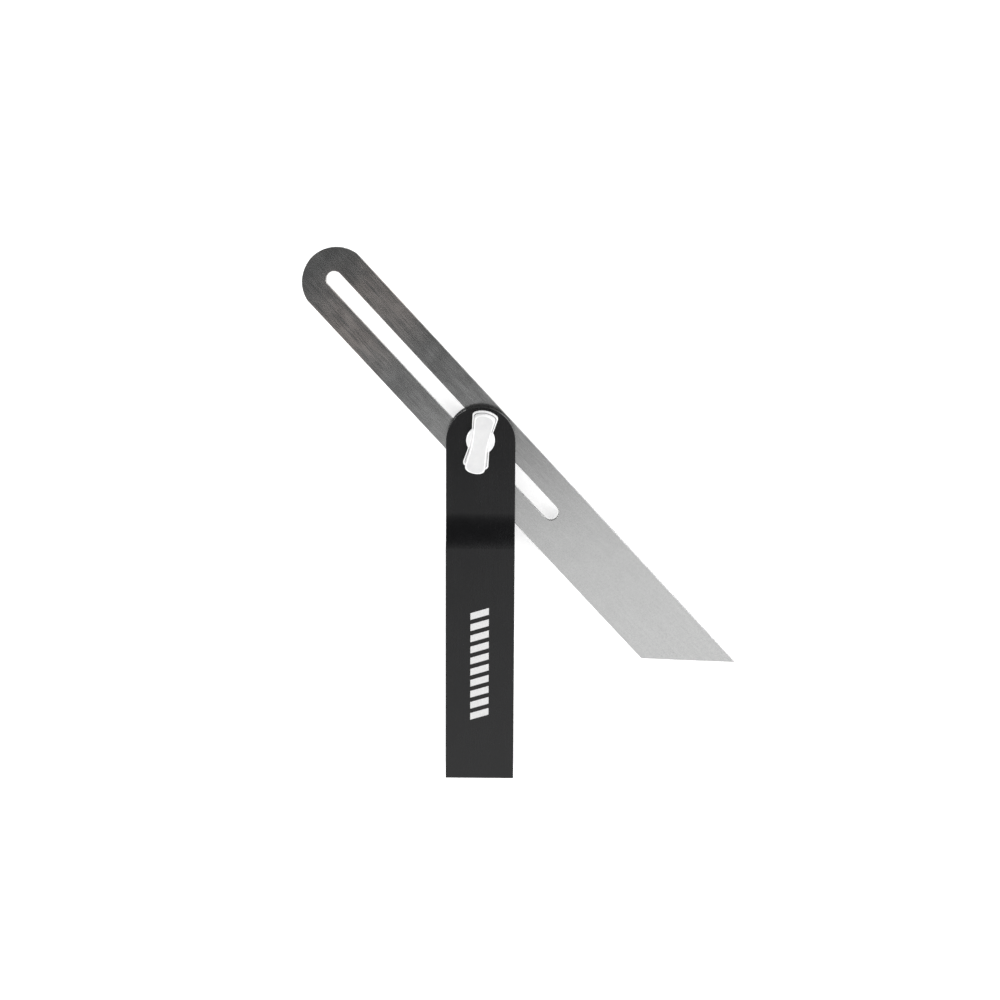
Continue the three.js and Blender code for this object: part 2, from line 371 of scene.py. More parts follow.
# %% A finish
class Finish(Graph):
    """A material with one Principled shader. Constants are set on its sockets, and patterns are linked."""

    def __init__(self, name, **constants):
        self.material = bpy.data.materials.new(name)
        self.material.use_nodes = True
        super().__init__(self.material.node_tree)
        self.shader = self.tree.nodes["Principled BSDF"]
        for label, value in constants.items():
            self.shader.inputs[label.replace("_", " ")].default_value = value
        self.place = self.add("ShaderNodeTexCoord").outputs["Object"]

    def use(self, group, **sizes):
        node = self.add("ShaderNodeGroup", node_tree=group)
        self.tree.links.new(self.place, node.inputs["Vector"])
        for label, value in sizes.items():
            node.inputs[label].default_value = value
        return node.outputs["Mask"]

    def between(self, mask, low, high):
        """A colour or number that goes from low to high with the mask."""
        if isinstance(low, tuple):
            mix = self.add("ShaderNodeMix", data_type="RGBA")
            sockets = [s for s in mix.inputs if s.type == "RGBA"]
            for socket, value in zip(sockets, (low, high)):
                socket.default_value = (*value, 1.0)
            self.tree.links.new(mask, mix.inputs[0])
            return next(s for s in mix.outputs if s.type == "RGBA")
        inputs = {"Value": mask, "To Min": low, "To Max": high}
        return self.add("ShaderNodeMapRange", inputs).outputs[0]

    def over(self, mask, under, colour):
        """Lays a plain colour over a linked one where the mask is 1."""
        mix = self.add("ShaderNodeMix", data_type="RGBA")
        first, second = [s for s in mix.inputs if s.type == "RGBA"]
        self.tree.links.new(under, first)
        second.default_value = (*colour, 1.0)
        self.tree.links.new(mask, mix.inputs[0])
        return next(s for s in mix.outputs if s.type == "RGBA")

    def bump(self, height, depth):
        node = self.add("ShaderNodeBump", {"Height": height, "Distance": depth, "Strength": 1.0})
        self.tree.links.new(node.outputs[0], self.shader.inputs["Normal"])

    def set(self, label, output):
        self.tree.links.new(output, self.shader.inputs[label])


# %% [markdown]
# ## The finishes
# The stock is black anodised aluminium: dyed oxide over metal, dark but with a soft sheen, and its broken
# edges are painted a lighter black as a highlight. The blade is stainless steel, ground along its length, and
# its edges are painted dark as shade. The lever is a zinc casting under nickel, satin on the face that
# fingers press; the rest of it is painted a lighter nickel as a highlight, and its groove a dark nickel as
# shade. The washer is bright nickel, and the bolt is zinc plated. Base colours are linear light, not screen
# values.

# %% Black anodised aluminium, and a lighter black painted on its edges as a highlight
def make_anodised(name, dark, light, rough_low, rough_high):
    finish = Finish(name, Metallic=0.0, Specular_IOR_Level=0.39)
    drawn = finish.use(STREAKS, Across=5200.0, Along=130.0)
    cloud = finish.use(CLOUDS, Size=0.018)
    dust = finish.use(SPECKS, Spacing=0.0016, Radius=0.035, Rarity=0.9)
    tooth = finish.use(TOOTH, Grain=0.00012)
    colour = finish.between(finish.math("MULTIPLY", cloud, drawn), dark, light)
    finish.set("Base Color", finish.over(dust, colour, (0.09, 0.09, 0.095)))
    sum_of = finish.math("ADD", finish.math("MULTIPLY", drawn, 0.5), finish.math("MULTIPLY", cloud, 0.5))
    finish.set("Roughness", finish.between(sum_of, rough_low, rough_high))
    finish.bump(finish.math("ADD", finish.math("MULTIPLY", drawn, 0.4), tooth), 0.000004)
    return finish.material


ANODISED = make_anodised("black_anodised", (0.0018, 0.0019, 0.0023), (0.0036, 0.0037, 0.0044), 0.22, 0.3)
# Painted highlight: a lighter black for the stock's broken edges.
ANODISED_PAINTED_HIGHLIGHT = make_anodised("black_anodised_rim", (0.02, 0.02, 0.022), (0.06, 0.06, 0.064), 0.28, 0.4)


# %% Ground stainless steel, and a dark steel painted on its edges as shade
def make_ground_steel():
    """Grinding leaves lines along the blade, and its heat leaves a warm haze near the round end."""
    finish = Finish("ground_steel", Metallic=1.0)
    grind = finish.use(STREAKS, Turn=-BLADE_TURN, Across=2400.0, Along=120.0)
    cloud = finish.use(CLOUDS, Size=0.007)
    haze = finish.use(CLOUDS, Size=0.02, Low=0.25, High=0.55)
    tooth = finish.use(TOOTH, Grain=0.0007)
    to_round_end = [-value for value in slide["axis"]]
    along = finish.add("ShaderNodeVectorMath", {0: finish.place, 1: to_round_end}, operation="DOT_PRODUCT")
    rise = ramp(finish, along.outputs["Value"], 40 * MM, 60 * MM)
    fall = ramp(finish, along.outputs["Value"], 90 * MM, 74 * MM)
    warm_end = finish.math("MULTIPLY", rise, fall)
    grain = finish.math("ADD", finish.math("MULTIPLY", grind, 0.5), finish.math("MULTIPLY", tooth, 0.5))
    base = finish.between(grain, (0.45, 0.452, 0.45), (0.545, 0.547, 0.545))
    warm = finish.math("MULTIPLY", finish.math("MULTIPLY", haze, warm_end), ramp(finish, grind, 0.1, 0.6))
    finish.set("Base Color", finish.over(warm, base, (0.8, 0.735, 0.7)))
    spread = finish.math("ADD", finish.math("MULTIPLY", grind, 0.6), finish.math("MULTIPLY", cloud, 0.4))
    finish.set("Roughness", finish.between(spread, 0.14, 0.21))
    finish.bump(grind, 0.000004)
    return finish.material


# Painted shade: the blade's chamfers are coloured dark to stand for the dark line along its edges.
def make_painted_shade_edge():
    finish = Finish("steel_cut_edge", Metallic=1.0)
    tooth = finish.use(TOOTH, Grain=0.0005)
    finish.set("Base Color", finish.between(tooth, (0.1, 0.1, 0.1), (0.17, 0.17, 0.17)))
    finish.set("Roughness", finish.between(tooth, 0.4, 0.55))
    return finish.material


GROUND_STEEL, STEEL_PAINTED_SHADE_EDGE = make_ground_steel(), make_painted_shade_edge()


# %% Plated finishes and brass
def make_plate(name, dark, light, rough_low, rough_high, grain, depth, metallic=1.0):
    finish = Finish(name, Metallic=metallic)
    cloud = finish.use(CLOUDS, Size=0.004)
    tooth = finish.use(TOOTH, Grain=grain)
    finish.set("Base Color", finish.between(cloud, dark, light))
    finish.set("Roughness", finish.between(tooth, rough_low, rough_high))
    finish.bump(tooth, depth)
    return finish.material


SATIN_NICKEL = make_plate(
    "satin_nickel", (0.71, 0.71, 0.715), (0.77, 0.77, 0.77), 0.4, 0.52, 0.00035, 0.000004, metallic=0.45)
# Painted highlight: a lighter copy of the satin nickel, for the lever's arms, boss and tier edges.
NICKEL_PAINTED_HIGHLIGHT = make_plate(
    "polished_nickel", (0.93, 0.93, 0.935), (0.97, 0.97, 0.97), 0.3, 0.42, 0.00035, 0.000003, metallic=0.4)
# Painted shade: a dark copy of the nickel, for the groove round the lever's tier.
GROOVE_PAINTED_SHADE_NICKEL = make_plate(
    "groove_nickel", (0.24, 0.24, 0.245), (0.36, 0.36, 0.36), 0.45, 0.6, 0.0005, 0.000002)
BRIGHT_NICKEL = make_plate(
    "bright_nickel", (0.8, 0.8, 0.79), (0.88, 0.88, 0.87), 0.16, 0.26, 0.0006, 0.000002)
ZINC_PLATE = make_plate("zinc_plate", (0.5, 0.51, 0.53), (0.62, 0.63, 0.65), 0.26, 0.4, 0.0005, 0.000004)
BRASS = make_plate("brass", (0.62, 0.43, 0.16), (0.74, 0.54, 0.22), 0.24, 0.36, 0.0005, 0.000003)


def make_print():
    finish = Finish("grey_print", Metallic=0.0)
    tooth = finish.use(TOOTH, Grain=0.0003)
    finish.set("Base Color", finish.between(tooth, (0.56, 0.56, 0.56), (0.72, 0.72, 0.72)))
    finish.set("Roughness", finish.between(tooth, 0.5, 0.7))
    return finish.material


GREY_PRINT = make_print()
print("finishes:", sorted(m.name for m in bpy.data.materials))


def paint(piece, *materials):
    piece.data.materials.clear()
    for material in materials:
        piece.data.materials.append(material)
    return piece


# %% [markdown]
# ## The stock
# The stock is milled from one bar. Seen from above it is a strip with one round end; seen from the side it
# is thinner at the pivot and climbs to the grip on a curve. The solid where both outlines agree is that bar,
# so the two prisms are intersected. A slit for the blade, the bolt's hole and the pocket for the bolt's head
# are then cut, in the order that a machinist would work, and the edges are broken last.

# %% Mill the bar
OVERRUN = 5 * MM


def stock_plan():
    half = STOCK_WIDTH / 2
    return [(-half, BUTT_Y), (half, BUTT_Y)] + arc(0, END_CENTRE_Y, END_RADIUS, 0, 180, 96)


def stock_side():
    """The side view as (y, z): flat under, thin at the pivot end, then the relief curve and the grip."""
    rise = GRIP_TOP - PIVOT_TOP
    radius = (RELIEF_RUN**2 + rise**2) / (2 * rise)
    sweep = math.degrees(math.asin(RELIEF_RUN / radius))
    near, far = stock_high.y + OVERRUN, BUTT_Y - OVERRUN
    climb = arc(RELIEF_START_Y, PIVOT_TOP + radius, radius, -90, -90 - sweep, 40)
    return [(far, 0), (near, 0), (near, PIVOT_TOP)] + climb + [(far, GRIP_TOP)]


stock = prism("stock_bar", stock_plan(), -OVERRUN, GRIP_TOP + OVERRUN)
side = prism("side", stock_side(), -STOCK_WIDTH, STOCK_WIDTH)
side.data.transform(Matrix(((0, 0, 1, 0), (1, 0, 0, 0), (0, 1, 0, 0), (0, 0, 0, 1))))
combine(stock, "INTERSECT", side)
print("bar:", len(stock.data.polygons), "faces")

# %% Slit it, bore it and sink the pocket
slit_middle = (blade_low.z + blade_high.z) / 2
slit_half = BLADE_THICKNESS / 2 + SLIT_SIDE_GAP
slit = block(
    "slit",
    (-STOCK_WIDTH, BUTT_Y + BUTT_WEB, slit_middle - slit_half),
    (STOCK_WIDTH, stock_high.y + OVERRUN, slit_middle + slit_half))
HEAD_RADIUS = (bolt_high.y - bolt_low.y) / 2
HEAD_FLAT = (bolt_high.x - bolt_low.x) / 2
HEAD_THICKNESS = 2.0 * MM


def flatted(radius, half_flat, steps=24):
    """A circle with two flats that face along X."""
    angle = math.degrees(math.acos(half_flat / radius))
    return arc(0, 0, radius, angle, 180 - angle, steps) + arc(0, 0, radius, 180 + angle, 360 - angle, steps)


pocket = prism("pocket", flatted(HEAD_RADIUS + SEAT_GAP, HEAD_FLAT + SEAT_GAP),
               -OVERRUN, HEAD_THICKNESS + SEAT_GAP)
bore = disc("bore", BORE_RADIUS, -2 * OVERRUN, GRIP_TOP + OVERRUN, 64)
combine(stock, "DIFFERENCE", slit, pocket, bore)
clean(stock)
print("milled stock:", len(stock.data.polygons), "faces")

# %% Break the edges and finish the stock
EDGE_BREAK = 0.5 * MM
INNER_SHARE = 0.3  # the slit, the hole and the pocket are only deburred


def stock_edge(middle):
    in_slit = abs(middle.z - slit_middle) < slit_half + 0.1 * MM
    near_bolt = Vector((middle.x, middle.y)).length < HEAD_RADIUS + 0.5 * MM
    relief_top = middle.z > GRIP_TOP - 0.01 * MM and abs(middle.y - RELIEF_START_Y + RELIEF_RUN) < 0.1 * MM
    return INNER_SHARE if in_slit or near_bolt or relief_top else 1.0


chamfer(stock, EDGE_BREAK, 3, stock_edge, sharp_degrees=15, slot=1)
# The broken edges take the second finish, a lighter black painted as a highlight.
paint(stock, ANODISED, ANODISED_PAINTED_HIGHLIGHT)
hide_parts("stock")
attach(stock, "stock")
print("finished stock:", len(stock.data.polygons), "faces")

# %% [markdown]
# ## The blade
# The blade follows a rule: a strip with one round end, a slot down the middle and an angled cut at the other
# end. That makes it a good piece for Geometry Nodes, because every size is an input of the tree and a new
# blade is only new numbers. The tree works along +Y from the pivot, and the mesh is turned into place after.

# %% A tree that makes a slotted blade
ROUND_STEPS = 192
BLADE_LENGTH = 230.0 * MM
BLADE_WIDTH = 26.5 * MM
BLADE_SIZES = {
    "Length": BLADE_LENGTH,
    "Width": BLADE_WIDTH,
    "Thickness": BLADE_THICKNESS,
    "Foot": blade_low.z,
    "End Radius": BLADE_WIDTH / 2 + 0.25 * MM,
    "Pivot Station": 95.2 * MM,
    "Slot Start": 9.0 * MM,
    "Slot Length": 129.7 * MM,
    "Slot Width": 6.2 * MM,
    "Cut Angle": math.radians(45),
}


def make_blade_tree():
    graph, given = geometry_tree("slotted_blade", BLADE_SIZES)
    cut_depth = graph.math("MULTIPLY", given["Thickness"], 3.0)
    middle_z = graph.math("ADD", given["Foot"], graph.math("MULTIPLY", given["Thickness"], 0.5))
    round_end = graph.math("MULTIPLY", given["Pivot Station"], -1.0)
    point = graph.math("ADD", round_end, given["Length"])

    def place(mesh, x, y, turn_z=0.0):
        spin = graph.xyz(0.0, 0.0, turn_z)
        inputs = {"Geometry": mesh, "Translation": graph.xyz(x, y, middle_z), "Rotation": spin}
        return graph.add("GeometryNodeTransform", inputs).outputs[0]

    def cuboid(size_x, size_y, size_z):
        return graph.add("GeometryNodeMeshCube", {"Size": graph.xyz(size_x, size_y, size_z)}).outputs[0]

    def drum(radius, depth):
        sizes = {"Vertices": ROUND_STEPS, "Radius": radius, "Depth": depth}
        return graph.add("GeometryNodeMeshCylinder", sizes).outputs[0]

    def boolean(operation, first, *others):
        node = graph.add("GeometryNodeMeshBoolean", operation=operation, solver="EXACT")
        if operation == "DIFFERENCE":
            graph.tree.links.new(first, node.inputs["Mesh 1"])
        else:
            others = (first, *others)
        for other in others:
            graph.tree.links.new(other, node.inputs["Mesh 2"])
        return node.outputs["Mesh"]

    end_centre = graph.math("ADD", round_end, given["End Radius"])
    strip_length = graph.math("SUBTRACT", point, end_centre)
    strip_middle = graph.math("ADD", end_centre, graph.math("MULTIPLY", strip_length, 0.5))
    strip = place(cuboid(given["Width"], strip_length, given["Thickness"]), 0.0, strip_middle)
    gauge_y = graph.math("SUBTRACT", end_centre, graph.math("MULTIPLY", given["Length"], 0.49))
    gauge = place(cuboid(given["Width"], given["Length"], cut_depth), 0.0, gauge_y)
    head = boolean("INTERSECT", place(drum(given["End Radius"], given["Thickness"]), 0.0, end_centre), gauge)
    body = boolean("UNION", strip, head)

    slot_radius = graph.math("MULTIPLY", given["Slot Width"], 0.5)
    first = graph.math("ADD", graph.math("ADD", round_end, given["Slot Start"]), slot_radius)
    span = graph.math("SUBTRACT", given["Slot Length"], given["Slot Width"])
    last = graph.math("ADD", first, span)
    window = place(cuboid(given["Slot Width"], span, cut_depth), 0.0,
                   graph.math("ADD", first, graph.math("MULTIPLY", span, 0.5)))
    ends = [place(drum(slot_radius, cut_depth), 0.0, y) for y in (first, last)]
    body = boolean("DIFFERENCE", body, boolean("UNION", window, *ends))

    # The cutter is a wide block whose near face passes through the point at the cut angle.
    half_length = graph.math("MULTIPLY", given["Length"], 0.5)
    lean = graph.math("SUBTRACT", math.pi / 2, given["Cut Angle"])
    cutter_x = graph.math("SUBTRACT", graph.math("MULTIPLY", half_length, graph.math("SINE", lean)),
                          graph.math("MULTIPLY", given["Width"], 0.5))
    cutter_y = graph.math("ADD", point, graph.math("MULTIPLY", half_length, graph.math("COSINE", lean)))
    knife = cuboid(graph.math("MULTIPLY", given["Length"], 2.0), given["Length"], cut_depth)
    knife = place(knife, cutter_x, cutter_y, graph.math("MULTIPLY", lean, -1.0))
    body = boolean("DIFFERENCE", body, knife)
    finish_tree(graph, given, body)
    return graph.tree


# %% Make the blade
blade = grow("blade_strip", make_blade_tree(), BLADE_SIZES, GROUND_STEEL)
clean(blade)
CUT_EDGE_WIDTH = 0.18 * MM
chamfer(blade, CUT_EDGE_WIDTH, 2, sharp_degrees=25, slot=1)
turn(blade, BLADE_TURN)
# The chamfers take the second finish, a dark steel painted as shade.
paint(blade, GROUND_STEEL, STEEL_PAINTED_SHADE_EDGE)
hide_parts("blade")
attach(blade, "blade")

# %% [markdown]
# ## The lever
# The lever is one casting: a round boss, two dog-bone arms, and a narrower tier for the fingers that leans
# back over one arm. A casting has no sharp edges, so it is built as a stack of outlines whose size follows a
# quarter circle at each edge. Outlines with the same number of points join into clean faces.

# %% The dog-bone outline
ARM = {"flare": 5.05, "waist": 3.55, "station": 9.95, "crown": 1.6, "corner": 0.9}
TIER_FOOT = {"flare": 4.25, "waist": 3.05, "station": 9.45, "crown": 1.25, "corner": 1.0}
TIER_TOP = {"flare": 3.95, "waist": 2.95, "station": 10.15, "crown": 1.3, "corner": 1.1}
SIDE_STEPS, CORNER_STEPS, CROWN_STEPS = 12, 6, 12


def mixed(first, second, share):
    return {key: first[key] + (second[key] - first[key]) * share for key in first}


def curve(start, control, end, steps):
    """Points on a quadratic curve, without its last point."""
    points = []
    for i in range(steps):
        t = i / steps
        points.append(tuple(
            (1 - t) ** 2 * a + 2 * t * (1 - t) * b + t * t * c for a, b, c in zip(start, control, end)))
    return points


def bone(shape, inset=0.0):
    """The outline in millimetres, anticlockwise from the right-hand waist, moved in by inset."""
    flare, waist = shape["flare"] - inset, shape["waist"] - inset
    station, crown, corner = shape["station"] - inset, shape["crown"], shape["corner"]
    radius = (flare**2 + crown**2) / (2 * crown)
    centre = station + crown - radius
    half = math.degrees(math.asin((flare - corner) / radius))
    flank_end = station - corner
    flank_x = waist + (flare - waist) * flank_end / station
    soft_y = station / 3
    soft_x = waist + (flare - waist) / 3
    crown_right = (flare - corner, centre + radius * math.cos(math.radians(half)))
    crown_left = (-crown_right[0], crown_right[1])
    run_x, run_y = flank_x - soft_x, flank_end - soft_y
    shares = [i / SIDE_STEPS for i in range(SIDE_STEPS)]
    upper = [(soft_x + run_x * share, soft_y + run_y * share) for share in shares]
    upper += curve((flank_x, flank_end), (flare, station), crown_right, CORNER_STEPS)
    upper += arc(0, centre, radius, 90 - half, 90 + half, CROWN_STEPS)[:-1]
    upper += curve(crown_left, (-flare, station), (-flank_x, flank_end), CORNER_STEPS)
    upper += [(run_x * share - flank_x, flank_end - run_y * share) for share in shares]
    upper += curve((-soft_x, soft_y), (-waist, 0), (-soft_x, -soft_y), SIDE_STEPS)
    return upper + [(-x, -y) for x, y in upper]


def ring(shape, inset, height, lean=0.0):
    return [(x * MM, (y - lean) * MM, height * MM) for x, y in bone(shape, inset)]


def rounded(shape, radius, height, lean, going_up, steps=5):
    """Rings round an edge: inset grows on the way up at a top edge, and shrinks at a foot."""
    rings = []
    for i in range(steps + 1):
        angle = math.radians(90 * i / steps)
        if going_up:
            inset = radius * (1 - math.cos(angle))
            level = height - radius * (1 - math.sin(angle))
        else:
            inset = radius * (1 - math.sin(angle))
            level = height + radius * (1 - math.cos(angle))
        rings.append(ring(shape, inset, level, lean))
    return rings


# %% Cast the arms, the tier and the boss
LEVER_FOOT = lever_low.z / MM
LEVER_TOP = lever_high.z / MM
ARM_LIFT, ARM_HEIGHT = 0.7, 2.8
ARM_FOOT = LEVER_FOOT + ARM_LIFT
ARM_TOP = ARM_FOOT + ARM_HEIGHT
ARM_FOOT_ROUND, ARM_TOP_ROUND = 0.35, 0.15
TIER_LEAN = 0.9
TIER_ROUND = 0.45
FACE_MARGIN = 0.15  # between the tier's rounded edge and the satin face
BOSS_RADIUS, BOSS_HEIGHT, BOSS_EDGE = 5.5 * MM, 3.4, 0.3 * MM
BOLT_END_ROOM = 0.6 * MM
WALL_LEVELS = 5
GROOVE_WIDTH, GROOVE_DEPTH = 0.22, 0.2
LEVER_TURN = math.radians(-11.3)


def make_casting():
    rings = rounded(ARM, ARM_FOOT_ROUND, ARM_FOOT, 0, False) + rounded(ARM, ARM_TOP_ROUND, ARM_TOP, 0, True)
    groove_floor = ARM_TOP - GROOVE_DEPTH
    groove_level = len(rings)
    rings.append(ring(TIER_FOOT, -GROOVE_WIDTH, ARM_TOP))
    rings.append(ring(TIER_FOOT, -GROOVE_WIDTH, groove_floor))
    wall_top = LEVER_TOP - TIER_ROUND
    for i in range(WALL_LEVELS):
        share = i / (WALL_LEVELS - 1)
        height = groove_floor + (wall_top - groove_floor) * share
        rings.append(ring(mixed(TIER_FOOT, TIER_TOP, share), 0, height, TIER_LEAN * share))
    rings += rounded(TIER_TOP, TIER_ROUND, LEVER_TOP, TIER_LEAN, True)[1:]
    rings.append(ring(TIER_TOP, TIER_ROUND + FACE_MARGIN, LEVER_TOP, TIER_LEAN))
    casting = paint(stack("lever_casting", rings), SATIN_NICKEL, GROOVE_PAINTED_SHADE_NICKEL, NICKEL_PAINTED_HIGHLIGHT)
    sides = len(rings[0])
    # Painted highlight: all but the satin top face take the lighter nickel.
    for face in range(1 + (len(rings) - 2) * sides):
        casting.data.polygons[face].material_index = 2
    # Painted shade: the groove round the tier takes the dark nickel.
    for face in range(1 + groove_level * sides, 1 + (groove_level + 2) * sides):
        casting.data.polygons[face].material_index = 1
    boss_foot, boss_top = LEVER_FOOT * MM, (LEVER_FOOT + BOSS_HEIGHT) * MM
    boss_rings = [
        [(x, y, z) for x, y in arc(0, 0, radius, 0, 360, 96)[:-1]]
        for radius, z in (
            (BOSS_RADIUS - BOSS_EDGE, boss_foot), (BOSS_RADIUS, boss_foot + BOSS_EDGE),
            (BOSS_RADIUS, boss_top - BOSS_EDGE), (BOSS_RADIUS - BOSS_EDGE, boss_top))]
    boss = paint(stack("boss", boss_rings), SATIN_NICKEL, GROOVE_PAINTED_SHADE_NICKEL, NICKEL_PAINTED_HIGHLIGHT)
    # Painted highlight: the boss takes the lighter nickel too.
    for face in boss.data.polygons:
        face.material_index = 2
    socket = disc("socket", (insert_high.x - insert_low.x) / 2 + SEAT_GAP, boss_foot - OVERRUN,
                  insert_high.z + SEAT_GAP, 64)
    bolt_room = disc("bolt_room", BORE_RADIUS, boss_foot - OVERRUN, bolt_high.z + BOLT_END_ROOM, 48)
    combine(casting, "UNION", boss)
    combine(casting, "DIFFERENCE", socket, bolt_room)
    return casting


lever = make_casting()
lever.data.shade_smooth()
lever.data.set_sharp_from_angle(angle=math.radians(40))
turn(lever, LEVER_TURN)
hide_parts("lever")
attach(lever, "lever")
# The areas are of the satin nickel, the groove's painted shade and the painted highlight.
shares = [sum(face.area for face in lever.data.polygons if face.material_index == i) for i in range(3)]
print("lever: satin, painted-shade groove and painted-highlight areas in mm2:", [round(share / MM**2, 1) for share in shares])

# %% [markdown]
# ## Washer, bush and insert
# These are turned or stamped parts. A turned part is one profile spun about the axis. The bush is stamped
# from strip, and the insert is knurled so that it grips the casting.

# %% Turned rings
def spun(name, profile, steps=96):
    """Spins a closed profile of (radius, z), listed anticlockwise, about Z."""
    vertices = []
    faces = []
    count = len(profile)
    for i in range(steps):
        angle = 2 * math.pi * i / steps
        vertices += [(r * math.cos(angle), r * math.sin(angle), z) for r, z in profile]
        low, high = i * count, (i + 1) % steps * count
        faces += [(low + k, high + k, high + (k + 1) % count, low + (k + 1) % count) for k in range(count)]
    mesh = bpy.data.meshes.new(name)
    mesh.from_pydata(vertices, [], faces)
    return add_object(name, mesh)


def ring_profile(inner, outer, low, high, edge):
    return [(inner, low + edge), (inner + edge, low), (outer - edge, low), (outer, low + edge),
            (outer, high - edge), (outer - edge, high), (inner + edge, high), (inner, high - edge)]


WASHER_EDGE = 0.12 * MM
washer = spun("plain_washer", ring_profile(
    BORE_RADIUS, (washer_high.x - washer_low.x) / 2, washer_low.z, washer_high.z, WASHER_EDGE))
paint(washer, BRIGHT_NICKEL)
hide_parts("lever_washer")
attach(washer, "washer")

# %% The guide bush
GUIDE_WIDTH, GUIDE_LENGTH = 6.0 * MM, 9.2 * MM
GUIDE_EDGE = 0.1 * MM
guide_end = (GUIDE_LENGTH - GUIDE_WIDTH) / 2
guide_outline = arc(0, guide_end, GUIDE_WIDTH / 2, 0, 180, 32)
guide_outline += arc(0, -guide_end, GUIDE_WIDTH / 2, 180, 360, 32)
guide = prism("slot_guide", guide_outline, guide_low.z, guide_high.z)
guide_bore = disc("guide_bore", BORE_RADIUS, guide_low.z - OVERRUN, guide_high.z + OVERRUN, 64)
combine(guide, "DIFFERENCE", guide_bore)
clean(guide)
chamfer(guide, GUIDE_EDGE, 2)
turn(guide, BLADE_TURN)
paint(guide, BRASS)
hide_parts("guide_bush")
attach(guide, "guide")

# %% The knurled insert
KNURLS = 36
KNURL_DEPTH = 0.12 * MM
insert_radius = (insert_high.x - insert_low.x) / 2


def knurled(radius):
    points = []
    for i in range(KNURLS):
        for offset, depth in ((0.0, 0.0), (0.3, 0.0), (0.65, KNURL_DEPTH)):
            angle = 2 * math.pi * (i + offset) / KNURLS
            points.append(((radius - depth) * math.cos(angle), (radius - depth) * math.sin(angle)))
    return points


insert = prism("threaded_insert", knurled(insert_radius), insert_low.z, insert_high.z)
insert_bore = disc("insert_bore", BORE_RADIUS, insert_low.z - OVERRUN, insert_high.z + OVERRUN, 64)
combine(insert, "DIFFERENCE", insert_bore)
paint(insert, BRASS)
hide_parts("lever_insert")
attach(insert, "lever")

# %% [markdown]
# ## The threaded bolt
# A screw thread is a groove that climbs one pitch in each turn. It could be a profile swept along a helix,
# but that leaves seams to close. Here a plain cylinder with many rings is made first, and each point is moved
# in by a depth that depends on its height and its angle. The surface never tears, so the thread stays one
# closed skin.

# %% A tree that cuts a thread
SHANK_RADIUS = 2.5 * MM
SHANK_FOOT = 1.0 * MM
THREAD_SIZES = {
    "Radius": SHANK_RADIUS,
    "Foot": SHANK_FOOT,
    "Top": bolt_high.z,
    "Pitch": 0.8 * MM,
    "Depth": 0.42 * MM,
    "Thread Length": 8.0 * MM,
    "Lead In": 0.5 * MM,
}
TURN_STEPS, RINGS = 48, 300


def make_thread_tree():
    graph, given = geometry_tree("threaded_shank", THREAD_SIZES)
    length = graph.math("SUBTRACT", given["Top"], given["Foot"])
    rod_sizes = {"Vertices": TURN_STEPS, "Side Segments": RINGS, "Radius": given["Radius"], "Depth": length}
    rod = graph.add("GeometryNodeMeshCylinder", rod_sizes).outputs[0]
    middle = graph.math("ADD", given["Foot"], graph.math("MULTIPLY", length, 0.5))
    rod = graph.add("GeometryNodeTransform", {
        "Geometry": rod, "Translation": graph.xyz(0.0, 0.0, middle)}).outputs[0]
    place = graph.add("GeometryNodeInputPosition").outputs[0]
    x, y, z = graph.add("ShaderNodeSeparateXYZ", {0: place}).outputs
    turns = graph.math("DIVIDE", graph.math("ARCTAN2", y, x), 2 * math.pi)
    climb = graph.math("SUBTRACT", graph.math("DIVIDE", z, given["Pitch"]), turns)
    groove = graph.math("PINGPONG", climb, 0.5)
    below_top = graph.math("SUBTRACT", given["Top"], z)
    top_fade = ramp(graph, below_top, 0.0, given["Lead In"])
    thread_end = graph.math("SUBTRACT", given["Thread Length"], given["Lead In"])
    foot_fade = ramp(graph, below_top, given["Thread Length"], thread_end)
    fade = graph.math("MULTIPLY", top_fade, foot_fade)
    most = graph.math("MULTIPLY", given["Depth"], fade)
    depth = graph.math("MULTIPLY", graph.math("MULTIPLY", groove, 2.0), most)
    taper = graph.math("MULTIPLY", graph.math("SUBTRACT", 1.0, top_fade), given["Depth"])
    share = graph.math("DIVIDE", graph.math("ADD", depth, taper), given["Radius"])
    inward = graph.math("MULTIPLY", share, -1.0)
    offset = graph.xyz(graph.math("MULTIPLY", x, inward), graph.math("MULTIPLY", y, inward), 0.0)
    cut = graph.add("GeometryNodeSetPosition", {"Geometry": rod, "Offset": offset}).outputs[0]
    finish_tree(graph, given, cut)
    return graph.tree


# %% The pivot bolt
bolt = prism("flush_bolt", flatted(HEAD_RADIUS, HEAD_FLAT, 40), bolt_low.z, bolt_low.z + HEAD_THICKNESS)
HEAD_EDGE = 0.18 * MM
chamfer(bolt, HEAD_EDGE, 2)
shank = grow("threaded_shank", make_thread_tree(), THREAD_SIZES, ZINC_PLATE)
combine(bolt, "UNION", shank)
bolt.data.shade_smooth()
bolt.data.set_sharp_from_angle(angle=math.radians(30))
paint(bolt, ZINC_PLATE)
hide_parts("pivot_bolt")
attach(bolt, "stock")
print("bolt:", len(bolt.data.polygons), "faces")

# %% [markdown]
# ## A printed mark
# Makers print a light grey mark along the grip. This one is plain: a row of slanted bars. They repeat, so
# Geometry Nodes set one out along a line and copy it. Ink has a little thickness, and so do these.

# %% Bars by Geometry Nodes
INK = 0.02 * MM
MARK_SIZES = {
    "Count": 10,
    "Pitch": 4.5 * MM,
    "Bar Length": 7.2 * MM,
    "Bar Width": 2.7 * MM,
    "Ink": INK,
    "Slant": 0.3,
}


